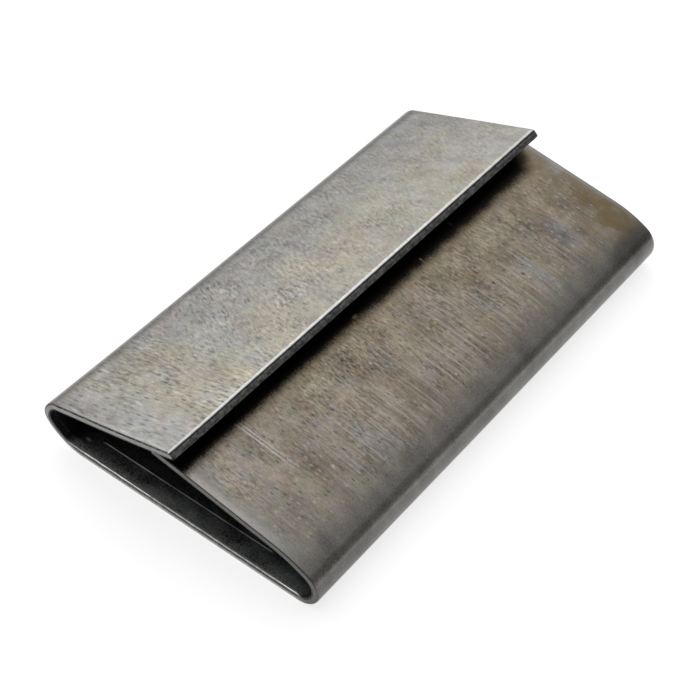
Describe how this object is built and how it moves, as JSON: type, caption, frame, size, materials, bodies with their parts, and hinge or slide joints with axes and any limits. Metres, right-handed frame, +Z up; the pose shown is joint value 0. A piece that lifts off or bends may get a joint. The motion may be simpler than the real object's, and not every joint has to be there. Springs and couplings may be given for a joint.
{
  "type": "strapping seal",
  "caption": "Sheet-steel strapping seal folded into a flat open tube, its cover flap lapping over its under flap, to be crimped around overlapped strap ends.",
  "frame": {"origin": "centre of the seal's footprint, on the surface that its flat base lies on", "axes": "+X across the strap towards the fold of the under flap, +Y along the strap, +Z up from the base towards the flaps"},
  "size_m": [0.0344, 0.0596, 0.0107],
  "materials": {
    "sheet_steel": "bare cold-rolled strip with a satin mill finish, rolling streaks across the seal and bright sheared edges"
  },
  "bodies": {
    "root": {"seal_body": "sheet_steel"}
  },
  "joints": []
}
